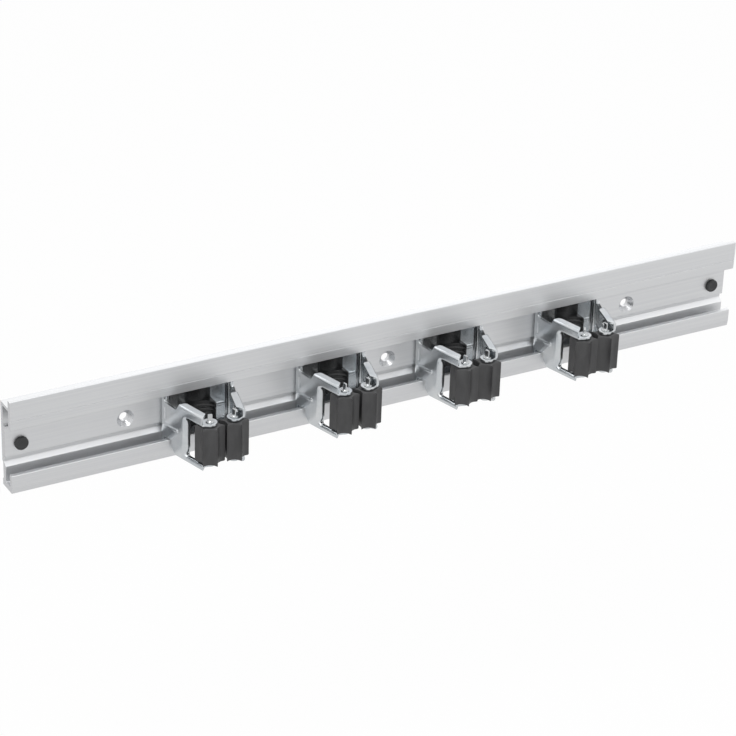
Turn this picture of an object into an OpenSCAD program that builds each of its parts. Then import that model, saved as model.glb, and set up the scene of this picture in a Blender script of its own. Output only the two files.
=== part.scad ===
// Tool hanger rail: an aluminium wall rail with four spring holders that slide along it.
// Lengths are in millimetres. X runs along the rail, -Y points out from the wall and Z up.
// The origin is the centre of the middle screw hole, on the face that lies on the wall.

/* [Rail] */
// Length of the rail
rail_l = 500; // [400:1:1000]
// Height of the rail
rail_h = 60; // [58:0.5:70]
// How far the front flange's face stands out from the wall
flange_out = 14.3; // [14:0.1:18]
// Thickness of the front flange
flange_t = 3; // [2:0.1:3.2]
// Height of the front flange
flange_h = 18.7; // [15:0.1:19]
// How far the flange stands up above the web that carries it
flange_rise = 5; // [3:0.1:6]
// Height of the flange's lower band, which leans back a little
flange_band_h = 6.2; // [4:0.1:8]
// How far the lower band leans back at its bottom edge
flange_lean = 0.3; // [0.1:0.05:0.6]
// Thickness of the web between the wall and the flange
web_t = 2; // [1.5:0.1:3]
// Thickness of the wall behind the flange
upper_wall_t = 3; // [2:0.1:4]
// Thickness of the wall that takes the screws
wall_t = 5; // [4.4:0.1:5.2]
// Height of the screw wall's top ledge above the rail's underside
wall_high = 40; // [38:0.1:41]
// Height of the top of the groove in the wall
groove_high = 19.4; // [18.5:0.1:22]
// Height of the groove's flat bottom
groove_h = 3.3; // [2:0.1:4]
// Depth of the groove
groove_depth = 2.5; // [1:0.1:3]
// Height of the slope from the groove down to the ridge
groove_slope_h = 2.4; // [1:0.1:3]
// Thickness of the channel's floor
floor_t = 3.6; // [2.5:0.1:4.5]
// Height of the channel's lip above the rail's underside
lip_h = 11.9; // [10:0.1:12.2]
// Thickness of the channel's lip
lip_t = 3; // [2:0.1:3.2]
// How far the lip's face stands out from the wall
lip_out = 14; // [13.8:0.1:15]
// Height of the bevel along the lip's foot
lip_bevel_h = 4.2; // [2:0.1:5]
// How far the bevel cuts back
lip_bevel = 0.8; // [0.3:0.1:1.5]
// Depth of the relief along the rail's back
relief_depth = 1.2; // [0.6:0.1:1.5]
// Height of the foot below the relief
relief_low = 4; // [3:0.1:6]
// Height of the top of the relief
relief_high = 16; // [12:0.1:17]

/* [Screw holes and end stops] */
// Height of the screw holes above the rail's underside
screw_up = 27.5; // [26:0.1:30]
// Distance from one screw hole to the next
screw_step = 174.7; // [150:0.1:190]
// Radius of the screw holes
screw_r = 2.75; // [2:0.05:3]
// Radius of the countersink at the wall's front
sink_r = 5.5; // [4.5:0.1:6]
// Distance of the end stops from the rail's ends
stop_in = 9.8; // [6:0.1:20]
// Radius of an end stop's head
stop_head_r = 4.15; // [3:0.05:6]
// Height of an end stop's head
stop_head_h = 2.2; // [1.5:0.1:4]
// Radius of an end stop's shank
stop_shank_r = 2.5; // [1.5:0.1:2.8]

/* [Holders] */
// Place of the first holder, from the rail's middle
holder_1_x = -129.2; // [-150:0.1:-120]
// Place of the second holder
holder_2_x = -40.5; // [-50:0.1:-30]
// Place of the third holder
holder_3_x = 42.2; // [35:0.1:50]
// Place of the fourth holder
holder_4_x = 127.9; // [120:0.1:150]
// Thickness of the steel sheet
sheet_t = 1.5; // [1:0.1:1.6]
// Sliding gap between the carrier and the rail
slide_gap = 0.3; // [0.2:0.05:0.5]
// Width of the carrier's plate
plate_w = 36.8; // [30:0.1:36.9]
// Width of the carrier's foot and of its hook
foot_w = 32; // [20:0.5:33]
// Distance from the plate's edge to the knuckles beside it
plate_gap = 0.4; // [0.3:0.05:1]
// Height of the carrier's beads above the rail's underside
plate_bead_up = 24.2; // [20:0.1:26]
// Radius of a hinge pin
pin_r = 1; // [0.8:0.05:1.1]
// Outer radius of the rolled knuckles
knuckle_r = 2.2; // [2:0.05:2.25]
// Running clearance of pins and axles, on the radius
run_gap = 0.06; // [0.03:0.01:0.1]
// Height of the carrier's lower knuckles
low_knuckle_h = 5.6; // [4:0.1:6]
// Height of the carrier's upper knuckles
high_knuckle_h = 3.3; // [2:0.1:4]
// Gap between one knuckle and the next on a hinge
knuckle_gap = 0.2; // [0.1:0.05:0.4]
// Radius of the hinge springs' wire
wire_r = 0.35; // [0.3:0.01:0.4]

/* [Wings] */
// Angle by which a closed wing leans in, seen from above
wing_lean = 14.9; // [12:0.1:16]
// Angle by which a wing opens
wing_swing = 30; // [20:1:30]
// Height of a wing's upper edge at the strip along its arm
wing_high = 38.6; // [37:0.1:39.5]
// Height of a wing's lower edge
wing_low = 3.2; // [2:0.1:3.6]
// Length of a wing from the hinge to the end of its arms
wing_l = 35.2; // [34.5:0.1:36.5]
// Distance from the hinge to the window between the arms
window_back = 21.1; // [19:0.1:22]
// Height of the window's top corner
window_high = 32.7; // [31.6:0.1:32.8]
// Height of the window's bottom corner
window_low = 10.4; // [9:0.1:12]
// Outer radius of the window's rolled back edge
window_roll_r = 3.5; // [2.5:0.1:4]
// Width of the strips folded in along the arms
strip_w = 4.5; // [3:0.1:5.5]
// Distance from the hinge to the start of the strips
strip_back = 13.9; // [12:0.1:16]
// Height of the lower arm's web
low_arm_h = 3.8; // [3:0.1:4]
// Height of the upper arm's web
high_arm_h = 4.8; // [4.5:0.1:6]
// Depth of the notch behind the upper strip
notch_h = 3.9; // [3:0.1:4.5]
// Radius of an upper ear
ear_r = 4.3; // [3.5:0.1:5.5]
// Radius of a lower ear
low_ear_r = 3.2; // [3:0.1:4]
// Distance from a roller's axis to the end of the wing's arms
axis_in = 0.43; // [0.2:0.01:1]
// Height of a wing's embossed bead above the rail's underside
bead_up = 20.8; // [18:0.1:24]
// Width of the embossed beads
bead_w = 2.4; // [1.5:0.1:3]
// How far the beads stand out of the sheet
bead_out = 0.6; // [0.3:0.05:0.8]

/* [Rollers] */
// Radius of a roller over its ridges
roller_r = 8.8; // [8:0.05:9.2]
// Number of ridges on a roller
ridges = 6; // [6:1:8]
// Depth of a flute below the ridges
flute_depth = 3; // [2:0.1:3.4]
// Gap between the ridges of a closed pair of rollers
pair_gap = 0.25; // [0.15:0.05:0.5]
// Radius of an axle
axle_r = 1.5; // [1.2:0.05:1.8]
// Height of the hub that stands out of each end of a roller
hub_h = 0.3; // [0.2:0.05:0.8]
// Width of the bevel round each end of a roller
chamfer = 0.6; // [0.3:0.1:1]
// Height of the tongue on top of an axle
tongue_h = 4.6; // [3:0.1:5]
// Width of the tongue
tongue_w = 2.9; // [2:0.1:3]
// Thickness of the tongue
tongue_t = 1; // [0.8:0.1:1.2]

/* [Pad] */
// Width of the pad's upper plate
pad_plate_w = 15.5; // [12:0.5:20]
// Thickness of the pad's upper plate
pad_plate_t = 1.5; // [1:0.1:2]
// Width of the pad's ribbed block
pad_w = 18; // [17.5:0.5:22]
// How far the pad's horns stand out from the wall
pad_out = 14; // [12:0.1:14.2]
// Height of the underside of the pad's block
pad_low = 15; // [14:0.5:17]
// Height of the pad's block
pad_h = 15; // [12:0.5:16]
// Radius of the pad's hollow
pad_hollow_r = 8.3; // [7:0.1:8.5]
// Distance from one of the pad's ribs to the next
rib_step = 2.9; // [2:0.1:4]
// Depth of the grooves between the ribs
rib_depth = 0.7; // [0.4:0.1:0.9]

/* [Hidden] */
$fn = 64;
// Cuts run this far past the faces that they open
over = 1;

holder_places = [holder_1_x, holder_2_x, holder_3_x, holder_4_x];
sides = ["left", "right"];
holder_kinds = ["carrier", "pad"];
side_kinds = ["wing", "pin", "spring", "roller", "axle"];

// Heights on the rail, from its underside
flange_low = rail_h - flange_h;
web_high = rail_h - flange_rise;
web_low = web_high - web_t;
groove_low = groove_high - groove_h;
ridge_low = groove_low - groove_slope_h;
relief_ramp = relief_depth * 0.6;
flange_back = flange_out - flange_t;
lip_back = lip_out - lip_t;
sink_depth = sink_r - screw_r;
stop_x = rail_l / 2 - stop_in;

// Carrier: its plate stands just off the screw wall, between the channel's floor and the web
plate_back = wall_t + slide_gap;
plate_front = plate_back + sheet_t;
plate_high = web_low - slide_gap;
hinge_half = plate_w / 2 + plate_gap + knuckle_r;
hook_out = flange_back - slide_gap;
foot_out = lip_back - slide_gap;
pin_out = plate_back + knuckle_r;
low_knuckle_low = floor_t + slide_gap;
low_knuckle_high = low_knuckle_low + low_knuckle_h;
high_knuckle_high = plate_high - sheet_t;
high_knuckle_low = high_knuckle_high - high_knuckle_h;

// Wing, drawn with its hinge at the origin: x points out of the holder and -y along the wing
plate_x = knuckle_r - sheet_t;
barrel_low = low_knuckle_high + knuckle_gap;
barrel_high = flange_low - slide_gap / 3;
lip_pass_z = lip_h + slide_gap * 5 / 3;
open_lean = wing_swing - wing_lean;
lip_pass = (lip_out + slide_gap * 2 - pin_out + knuckle_r * sin(open_lean)) / cos(open_lean);
notch_z = wing_high - notch_h;
shoulder_z = notch_z + sheet_t / 2;
knee_back = (lip_pass + strip_back) * 0.54;
knee_z = (wing_low + lip_pass_z) / 2;
low_arm_high = wing_low + low_arm_h;
high_arm_low = wing_high - high_arm_h;
strip_cut = strip_w * 0.6;
roll_x = knuckle_r - window_roll_r;
roll_y = window_back - window_roll_r;
bead_start = knuckle_r / 2;
bead_end = strip_back;

// Rollers: a closed pair stands ridge beside ridge, so that each can turn by itself
roller_half = roller_r * cos(180 / ridges) + pair_gap / 2;
axis_y = wing_l - axis_in;
roller_out = pin_out + (axis_y - (hinge_half - roller_half) * sin(wing_lean)) / cos(wing_lean);
axis_x = (roller_half - hinge_half) * cos(wing_lean) + (roller_out - pin_out) * sin(wing_lean);
ear_back = axis_y - ear_r;
low_ear_back = axis_y - low_ear_r;
arm_throat = roll_y + (ear_back - roll_y) * 0.72;
// Flutes are arcs from ridge to ridge, so their radius follows from the ridges' places and the flute's depth
flute_low_r = roller_r - flute_depth;
ridge_x = roller_r * cos(180 / ridges);
flute_r = (roller_r * roller_r - 2 * flute_low_r * ridge_x + flute_low_r * flute_low_r)
    / (2 * (ridge_x - flute_low_r));
flute_place = flute_low_r + flute_r;
high_ear_z = high_arm_low - sheet_t;
low_ear_z = low_arm_high - sheet_t;
ear_gap = slide_gap;
roller_low = low_ear_z + sheet_t + ear_gap + hub_h;
roller_high = high_ear_z - ear_gap - hub_h;
hub_r = axle_r * 2;
head_r = axle_r * 1.5;
head_h = sheet_t * 0.35;
collar_r = axle_r * 1.7;
collar_h = sheet_t * 0.35;
// How far each roller is turned, left and right, for each holder, as a share of the angle between two ridges.
// Closed rollers turn freely past each other at most angles: where two ridges meet, the springs give way.
roller_turn_shares = [[0.6, 0.617], [0.567, 0.667], [0.383, 0.383], [0.4, 0.4]];
// How far each axle's tongue is turned, left and right, for each holder
tongue_turns = [[15, -75], [80, -60], [65, -70], [-60, -80]];

// Hinge spring: four curls of wire between the wing's barrel and the carrier's upper knuckle
coil_r = (pin_r + knuckle_r) / 2 + wire_r / 2;
spring_low = barrel_high;
spring_high = high_knuckle_low;
curls = 4;
curl_rings = 8;
wire_sides = 6;
wire_run = 2 * wire_r;
coil_low = spring_low + wire_run;
coil_high = spring_high - wire_run;

// Pad: its stud goes through the carrier's plate, level with the middle of the block
pad_stud_r = pad_plate_t * 1.6;
pad_stud_z = pad_low + pad_h / 2;
pad_back = plate_front + (pad_out - plate_front) / 4;
pad_top = plate_high - sheet_t * 2;

// A point of an outline, given by its distance from the wall and its height
function out(d, z) = [-d, z];

// Extrudes an outline of such points along X, over the length l
module along_x(l) rotate([90, 0, 90]) linear_extrude(l) children();

module at_holder(i) translate([holder_places[i], 0, -screw_up]) children();

module on_side(s) mirror([s == "left" ? 1 : 0, 0, 0]) children();

// The places of a wing's hinge and of its roller's axis
module at_hinge(s) on_side(s) translate([hinge_half, -pin_out, 0]) children();
module at_roller(s) on_side(s) translate([roller_half, -roller_out, 0]) children();

// A roller's turn in its own place, which is mirrored on the left: its ridges lie half a step from a flute
function turned(i, s) = s == "left"
    ? (0.5 - roller_turn_shares[i][0]) * 360 / ridges
    : (roller_turn_shares[i][1] - 0.5) * 360 / ridges;

// A round hole along Y, from the wall's back to past its front
module hole_y(r) rotate([90, 0, 0]) translate([0, 0, -over]) cylinder(r = r, h = wall_t + 2 * over);

module rail_outline() polygon([
    out(0, web_high), out(flange_back, web_high), out(flange_back, rail_h), out(flange_out, rail_h),
    out(flange_out, flange_low + flange_band_h), out(flange_out - flange_lean, flange_low),
    out(flange_back, flange_low), out(flange_back, web_low), out(upper_wall_t, web_low),
    out(upper_wall_t, wall_high), out(wall_t, wall_high), out(wall_t, groove_high),
    out(wall_t - groove_depth, groove_high), out(wall_t - groove_depth, groove_low),
    out(wall_t, ridge_low), out(wall_t, floor_t), out(lip_back, floor_t), out(lip_back, lip_h),
    out(lip_out, lip_h), out(lip_out, lip_bevel_h), out(lip_out - lip_bevel, 0), out(0, 0),
    out(0, relief_low), out(relief_depth, relief_low + relief_ramp),
    out(relief_depth, relief_high - relief_ramp), out(0, relief_high)
]);

module rail() color("gainsboro") translate([0, 0, -screw_up]) difference() {
    translate([-rail_l / 2, 0, 0]) along_x(rail_l) rail_outline();
    for (k = [-1 : 1]) translate([k * screw_step, 0, screw_up]) {
        hole_y(screw_r);
        translate([0, -wall_t, 0]) rotate([-90, 0, 0]) cylinder(r1 = sink_r, r2 = screw_r, h = sink_depth);
    }
    for (k = [-1, 1]) translate([k * stop_x, 0, screw_up]) hole_y(stop_shank_r);
}

module end_stop(k) color("dimgray") translate([k * stop_x, 0, 0]) rotate([90, 0, 0]) {
    cylinder(r = stop_shank_r, h = wall_t);
    translate([0, 0, wall_t]) cylinder(r = stop_head_r, h = stop_head_h - stop_head_h / 4);
    translate([0, 0, wall_t + stop_head_h * 0.75])
        cylinder(r1 = stop_head_r, r2 = stop_head_r * 0.85, h = stop_head_h / 4);
}

// A half-round bead of length l on a face at y = 0, standing out to -y, with a round end at x = 0
module bead(l) {
    round_r = (bead_w * bead_w / 4 + bead_out * bead_out) / (2 * bead_out);
    intersection() {
        translate([0, round_r - bead_out, 0]) union() {
            rotate([0, 90, 0]) cylinder(r = round_r, h = l);
            sphere(r = round_r);
        }
        translate([-bead_w, -bead_out * 2, -bead_w]) cube([l + bead_w, bead_out * 2, bead_w * 2]);
    }
}

// The carrier's knuckle of height h: a tube round the pin and the leaf that joins it to the plate
module carrier_knuckle(low, h) translate([0, 0, low]) {
    translate([hinge_half, -pin_out, 0]) cylinder(r = knuckle_r, h = h);
    translate([plate_w / 2 - sheet_t, -plate_front, 0])
        cube([hinge_half - plate_w / 2 + sheet_t, sheet_t, h]);
}

module carrier() color("lightsteelblue") difference() {
    union() {
        translate([-plate_w / 2, -plate_front, floor_t]) cube([plate_w, sheet_t, plate_high - floor_t]);
        translate([-foot_w / 2, -foot_out, floor_t]) cube([foot_w, foot_out - plate_back, sheet_t]);
        translate([-foot_w / 2, -hook_out, plate_high - sheet_t])
            cube([foot_w, hook_out - plate_back, sheet_t]);
        for (s = sides) on_side(s) {
            carrier_knuckle(low_knuckle_low, low_knuckle_h);
            carrier_knuckle(high_knuckle_low, high_knuckle_h);
            translate([pad_w / 2 + bead_w, -plate_front, plate_bead_up]) bead(plate_w / 2 - pad_w / 2 - bead_w);
        }
    }
    for (s = sides) at_hinge(s) cylinder(r = pin_r, h = rail_h);
    translate([0, over - plate_back, pad_stud_z]) rotate([90, 0, 0])
        cylinder(r = pad_stud_r, h = sheet_t + 2 * over);
}

module pad() color("darkslategray") {
    difference() {
        translate([-pad_w / 2, -pad_out, pad_low]) cube([pad_w, pad_out - plate_front, pad_h]);
        translate([0, -pad_back - pad_hollow_r, pad_low - over])
            cylinder(r = pad_hollow_r, h = pad_h + 2 * over);
        for (z = [rib_step / 2 : rib_step : pad_h - rib_step / 2])
            translate([0, -pad_back - pad_hollow_r, pad_low + z])
                cylinder(r = pad_hollow_r + rib_depth, h = rib_step / 2);
    }
    translate([-pad_plate_w / 2, -plate_front - pad_plate_t, pad_low + pad_h])
        cube([pad_plate_w, pad_plate_t, pad_top - pad_low - pad_h]);
    translate([0, -plate_back, pad_stud_z]) rotate([90, 0, 0]) cylinder(r = pad_stud_r, h = sheet_t);
}

// The wing's flat sheet, seen from its side: points give the distance from the hinge and the height
module wing_outline() difference() {
    polygon([
        out(0, lip_pass_z), out(lip_pass, lip_pass_z), out(lip_pass, knee_z), out(knee_back, wing_low),
        out(wing_l, wing_low), out(wing_l, low_arm_high), out(arm_throat, low_arm_high),
        out(roll_y, window_low - low_arm_h / 2), out(roll_y, high_arm_low), out(ear_back, high_arm_low),
        out(ear_back, high_ear_z), out(wing_l, high_ear_z), out(wing_l, wing_high), out(strip_back, wing_high),
        out(strip_back - sheet_t, notch_z), out(strip_back - strip_w, notch_z), out(knuckle_r, shoulder_z),
        out(knuckle_r / 2, barrel_high), out(0, barrel_high)
    ]);
    // The window's corners are round
    for (z = [window_low + window_roll_r, window_high - window_roll_r])
        translate(out(roll_y + window_roll_r, z)) circle(r = window_roll_r);
    translate(out(arm_throat, window_low + window_roll_r))
        square([arm_throat - roll_y, window_high - window_low - 2 * window_roll_r]);
}

// The strip folded in along an arm, seen from above
module strip_outline() polygon([
    [knuckle_r, -strip_back], [knuckle_r, -wing_l], [plate_x, -wing_l],
    [knuckle_r - strip_w, -wing_l + strip_cut], [knuckle_r - strip_w, -strip_back - sheet_t / 2]
]);

// The ear of radius r that holds an axle's end, joined to the arm's web
module ear_outline(r) {
    translate([axis_x, -axis_y]) circle(r = r);
    polygon([
        [knuckle_r, r - axis_y], [knuckle_r, -wing_l], [axis_x + r * cos(45), -axis_y - r * sin(45)],
        [axis_x, -axis_y], [axis_x, r - axis_y]
    ]);
}

// The window's back edge, rolled inwards over a quarter of a circle
module rolled_edge(h) intersection() {
    difference() {
        cylinder(r = window_roll_r, h = h);
        translate([0, 0, -over]) cylinder(r = window_roll_r - sheet_t, h = h + 2 * over);
    }
    translate([0, -window_roll_r - over, 0]) cube([window_roll_r + over, window_roll_r + over, h]);
}

module wing(s) color("silver") at_hinge(s) rotate([0, 0, -wing_lean]) difference() {
    union() {
        translate([0, 0, barrel_low]) cylinder(r = knuckle_r, h = barrel_high - barrel_low);
        translate([plate_x, 0, 0]) along_x(sheet_t) wing_outline();
        for (z = [wing_low, wing_high - sheet_t]) translate([0, 0, z]) linear_extrude(sheet_t) strip_outline();
        translate([0, 0, high_ear_z]) linear_extrude(sheet_t) ear_outline(ear_r);
        translate([0, 0, low_ear_z]) linear_extrude(sheet_t) ear_outline(low_ear_r);
        translate([roll_x, -roll_y, window_low + window_roll_r])
            rolled_edge(window_high - window_low - 2 * window_roll_r);
        translate([knuckle_r, bead_w / 2 - bead_end, bead_up]) rotate([0, 0, 90])
            bead(bead_end - bead_w / 2 - bead_start);
    }
    cylinder(r = pin_r + run_gap, h = rail_h);
    translate([axis_x, -axis_y, 0]) cylinder(r = axle_r + run_gap, h = rail_h);
}

module pin(s) color("gray") at_hinge(s)
    translate([0, 0, low_knuckle_low]) cylinder(r = pin_r, h = high_knuckle_high - low_knuckle_low);

// Roller of moulded rubber: hollow flutes leave the ridges between them
module roller(i, s) color("dimgray") at_roller(s) rotate([0, 0, turned(i, s)]) difference() {
    union() {
        translate([0, 0, roller_low]) cylinder(r1 = roller_r - chamfer, r2 = roller_r, h = chamfer);
        translate([0, 0, roller_low + chamfer])
            cylinder(r = roller_r, h = roller_high - roller_low - 2 * chamfer);
        translate([0, 0, roller_high - chamfer]) cylinder(r1 = roller_r, r2 = roller_r - chamfer, h = chamfer);
        translate([0, 0, roller_low - hub_h]) cylinder(r = hub_r, h = roller_high - roller_low + 2 * hub_h);
    }
    for (k = [0 : ridges - 1]) rotate([0, 0, k * 360 / ridges]) translate([flute_place, 0, 0])
        cylinder(r = flute_r, h = rail_h);
    cylinder(r = axle_r, h = rail_h);
}

// Axle: headed below the lower ear, with a collar and a flat tongue above the upper one
module axle(i, s) color("gray") at_roller(s) rotate([0, 0, tongue_turns[i][s == "left" ? 0 : 1]]) {
    collar_z = high_ear_z + sheet_t + ear_gap / 3;
    head_z = low_ear_z - ear_gap / 3 - head_h;
    translate([0, 0, head_z]) cylinder(r = head_r, h = head_h);
    translate([0, 0, head_z]) cylinder(r = axle_r, h = collar_z - head_z);
    translate([0, 0, collar_z]) cylinder(r = collar_r, h = collar_h);
    translate([-tongue_w / 2, -tongue_t / 2, collar_z]) cube([tongue_w, tongue_t, tongue_h]);
}

// The wire's middle line: straight out of the barrel, round the curls, and straight into the knuckle
function coil_point(k) = let (a = k * 360 / curl_rings, f = k / (curls * curl_rings))
    [coil_r * cos(a), coil_r * sin(a), coil_low + f * (coil_high - coil_low)];
coil_path = [for (k = [0 : curls * curl_rings]) coil_point(k)];
wire_path = concat(
    [[coil_r, 0, spring_low]],
    coil_path,
    [[coil_r, 0, spring_high]]
);

function unit(v) = v / norm(v);
function heading(p, k) = unit(unit(p[min(k + 1, len(p) - 1)] - p[max(k, 1)])
    + unit(p[min(k, len(p) - 2)] - p[max(k - 1, 0)]));

// Ring k of the wire, square to its run, in the plane of the coil's own radius
function wire_ring(p, k) =
    let (t = k == 0 || k == len(p) - 1 ? [0, 0, 1] : heading(p, k),
         r = unit([p[k][0], p[k][1], 0]),
         n = unit(cross(t, r)), m = cross(n, t))
    [for (j = [0 : wire_sides - 1]) let (a = j * 360 / wire_sides) p[k] + wire_r * (cos(a) * m + sin(a) * n)];

module spring(s) color("slategray") at_hinge(s) {
    rings = len(wire_path);
    points = [for (k = [0 : rings - 1]) each wire_ring(wire_path, k)];
    last = (rings - 1) * wire_sides;
    faces = concat(
        [for (j = [1 : wire_sides - 2]) [0, j, j + 1]],
        [for (k = [0 : rings - 2]) for (j = [0 : wire_sides - 1])
            let (a = k * wire_sides + j, b = k * wire_sides + (j + 1) % wire_sides)
            each [[a, a + wire_sides, b], [b, a + wire_sides, b + wire_sides]]],
        [for (j = [1 : wire_sides - 2]) [last, last + j + 1, last + j]]
    );
    polyhedron(points, faces);
}

// The least gap between one curl and the next
coil_gap = min([for (k = [0 : len(coil_path) - 1 - curl_rings * 3 / 4])
    for (m = [k + curl_rings * 3 / 4 : len(coil_path) - 1]) norm(coil_path[k] - coil_path[m])]) - 2 * wire_r;
echo(least_gap_of_the_spring_to_itself = coil_gap);

rail();
end_stop(-1);  // left_end_stop
end_stop(1);  // right_end_stop
for (i = [0 : len(holder_places) - 1]) at_holder(i) {
    carrier();
    pad();
    for (s = sides) {
        wing(s);
        pin(s);
        spring(s);
        roller(i, s);
        axle(i, s);
    }
}
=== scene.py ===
import math

import bmesh
import bpy
from mathutils import Matrix, Vector
from mathutils.geometry import delaunay_2d_cdt


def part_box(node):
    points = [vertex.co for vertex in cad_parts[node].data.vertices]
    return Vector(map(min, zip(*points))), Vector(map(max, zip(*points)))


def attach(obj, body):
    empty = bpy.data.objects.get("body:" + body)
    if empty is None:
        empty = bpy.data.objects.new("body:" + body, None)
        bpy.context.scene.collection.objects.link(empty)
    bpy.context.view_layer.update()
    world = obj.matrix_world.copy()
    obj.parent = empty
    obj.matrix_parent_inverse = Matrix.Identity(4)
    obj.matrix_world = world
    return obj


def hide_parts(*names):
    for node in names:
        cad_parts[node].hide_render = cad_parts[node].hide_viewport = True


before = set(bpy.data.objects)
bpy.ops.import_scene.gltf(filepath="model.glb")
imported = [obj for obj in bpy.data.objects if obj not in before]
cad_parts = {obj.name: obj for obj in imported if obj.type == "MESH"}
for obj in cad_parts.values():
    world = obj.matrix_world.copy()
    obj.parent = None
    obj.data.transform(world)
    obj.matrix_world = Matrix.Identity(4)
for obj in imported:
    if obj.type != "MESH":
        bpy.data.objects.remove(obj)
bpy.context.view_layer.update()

# Rail
# One length of extruded aluminium alloy, sawn off square, satin anodised and drilled for its screws.
# The die leaves faint lines and a fine scored line along it, and its long corners are a little round.
MM = 0.001
RAIL_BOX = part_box("rail")
UNDERSIDE = RAIL_BOX[0].z / MM
RAIL_L = (RAIL_BOX[1].x - RAIL_BOX[0].x) / MM
RAIL_H = (RAIL_BOX[1].z - RAIL_BOX[0].z) / MM
FLANGE_OUT = -RAIL_BOX[0].y / MM
FLANGE_T, FLANGE_LOW, FLANGE_LEAN, FLANGE_STEP = 3, 41.3, 0.3, 0.02
SCORE_UP, SCORE_DEPTH, SCORE_HALF, SCORE_TAPER = 47.5, 0.35, 0.16, 0.05
WEB_LOW, WEB_HIGH = 53, 55
UPPER_WALL_T, WALL_T, WALL_HIGH = 3, 5, 40
GROOVE_HIGH, GROOVE_LOW, GROOVE_DEPTH = 19.4, 16.1, 2.5
RIDGE_LOW, FLOOR_T = 13.7, 3.6
LIP_H, LIP_T, LIP_OUT = 11.9, 3, 14
LIP_BEVEL, LIP_BEVEL_H = 0.8, 4.2
RELIEF, RELIEF_RAMP, RELIEF_LOW, RELIEF_HIGH = 1.2, 0.72, 4, 16
CORNER_R, SHORT_SIDE_SHARE = 0.5, 0.45
SCREW_STEP, SCREW_R, SINK_R, SINK_RIM = 174.7, 2.75, 5.5, 0.15
STOP_X, STOP_SHANK_R = 240.2, 2.5
ROUND_SIDES = 48
OVERRUN = 1
# How near to a face's plane is on it, and the cosines that tell the sawn ends and the countersinks from
# the rail's long faces
HAIR, END_SLACK = 0.001, 0.1
END_FACING, SINK_FACING = 0.99, 0.3
# The rail's rounded corners stay crisp in the light, and other pieces are smooth over their facets
RAIL_SMOOTH_UNDER, SMOOTH_UNDER = 9, 35
# Noise lies mostly between these two values, which the patterns below take as their ends
NOISE_SPAN = {"From Min": 0.3, "From Max": 0.7}


def linear(hex_colour):
    """An sRGB hex colour as linear red, green, blue and alpha."""
    parts = [int(hex_colour[k:k + 2], 16) / 255 for k in (1, 3, 5)]
    return [p / 12.92 if p <= 0.04045 else ((p + 0.055) / 1.055) ** 2.4 for p in parts] + [1]


def set_inputs(owner, node, inputs):
    """Sets a node's inputs to values, or links them where they are given another node's output."""
    for name, value in inputs.items():
        if isinstance(value, bpy.types.NodeSocket):
            owner.node_tree.links.new(value, node.inputs[name])
        else:
            node.inputs[name].default_value = value


def add_node(owner, kind, inputs, **settings):
    """Adds a node with its settings and inputs to a material or to the world."""
    node = owner.node_tree.nodes.new(kind)
    for name, value in settings.items():
        setattr(node, name, value)
    set_inputs(owner, node, inputs)
    return node


def new_material(name):
    """A material with a plain Principled surface, given back with its shader node."""
    material = bpy.data.materials.new(name)
    material.use_nodes = True
    return material, material.node_tree.nodes["Principled BSDF"]


def surface_noise(material, spacing_mm, detail=2):
    """Noise whose grain is spacing_mm apart along X, Y and Z of the piece."""
    place = add_node(material, "ShaderNodeTexCoord", {}).outputs["Object"]
    scaled = add_node(material, "ShaderNodeMapping", {
        "Vector": place, "Scale": [1 / (s * MM) for s in spacing_mm]}).outputs["Vector"]
    return add_node(material, "ShaderNodeTexNoise", {
        "Vector": scaled, "Scale": 1, "Detail": detail}).outputs["Fac"]


def piece(name, mesh, body, node, material, smooth_under=SMOOTH_UNDER):
    """Makes a visible piece of a mesh, which stands for a CAD node and moves with its body."""
    for face in mesh.polygons:
        face.use_smooth = True
    mesh.set_sharp_from_angle(angle=math.radians(smooth_under))
    obj = bpy.data.objects.new(name, mesh)
    bpy.context.collection.objects.link(obj)
    if not mesh.materials:
        mesh.materials.append(material)
    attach(obj, body)
    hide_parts(node)


def with_modifiers(mesh, *changes):
    """The mesh after modifiers, each given as its kind and its settings."""
    obj = bpy.data.objects.new("blank", mesh)
    bpy.context.collection.objects.link(obj)
    for kind, settings in changes:
        modifier = obj.modifiers.new(kind, kind)
        for name, value in settings.items():
            setattr(modifier, name, value)
    made = bpy.data.meshes.new_from_object(obj.evaluated_get(bpy.context.evaluated_depsgraph_get()))
    bpy.data.objects.remove(obj)
    return made


def rounded(points, radius, steps=3):
    """A closed outline with every corner rounded, less where its sides are short."""
    made = []
    for k, p in enumerate(points):
        p, before, after = Vector(p), Vector(points[k - 1]), Vector(points[(k + 1) % len(points)])
        a, b = before - p, after - p
        half = a.angle(b) / 2
        reach = min(radius / math.tan(half), a.length * SHORT_SIDE_SHARE, b.length * SHORT_SIDE_SHARE)
        start, end = p + a.normalized() * reach, p + b.normalized() * reach
        for j in range(steps + 1):
            f = j / steps
            made.append(start * (1 - f) ** 2 + p * 2 * f * (1 - f) + end * f ** 2)
    return made


def lofted(rings):
    """A closed mesh through rings of as many points each, capped at both ends. Points are in millimetres."""
    bm = bmesh.new()
    rows = [[bm.verts.new(Vector(p) * MM) for p in ring] for ring in rings]
    count = len(rows[0])
    for low, high in zip(rows, rows[1:]):
        for k in range(count):
            bm.faces.new((low[k], low[(k + 1) % count], high[(k + 1) % count], high[k]))
    bm.faces.new(rows[0][::-1])
    bm.faces.new(rows[-1])
    bmesh.ops.recalc_face_normals(bm, faces=bm.faces)
    mesh = bpy.data.meshes.new("lofted")
    bm.to_mesh(mesh)
    bm.free()
    return mesh


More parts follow.
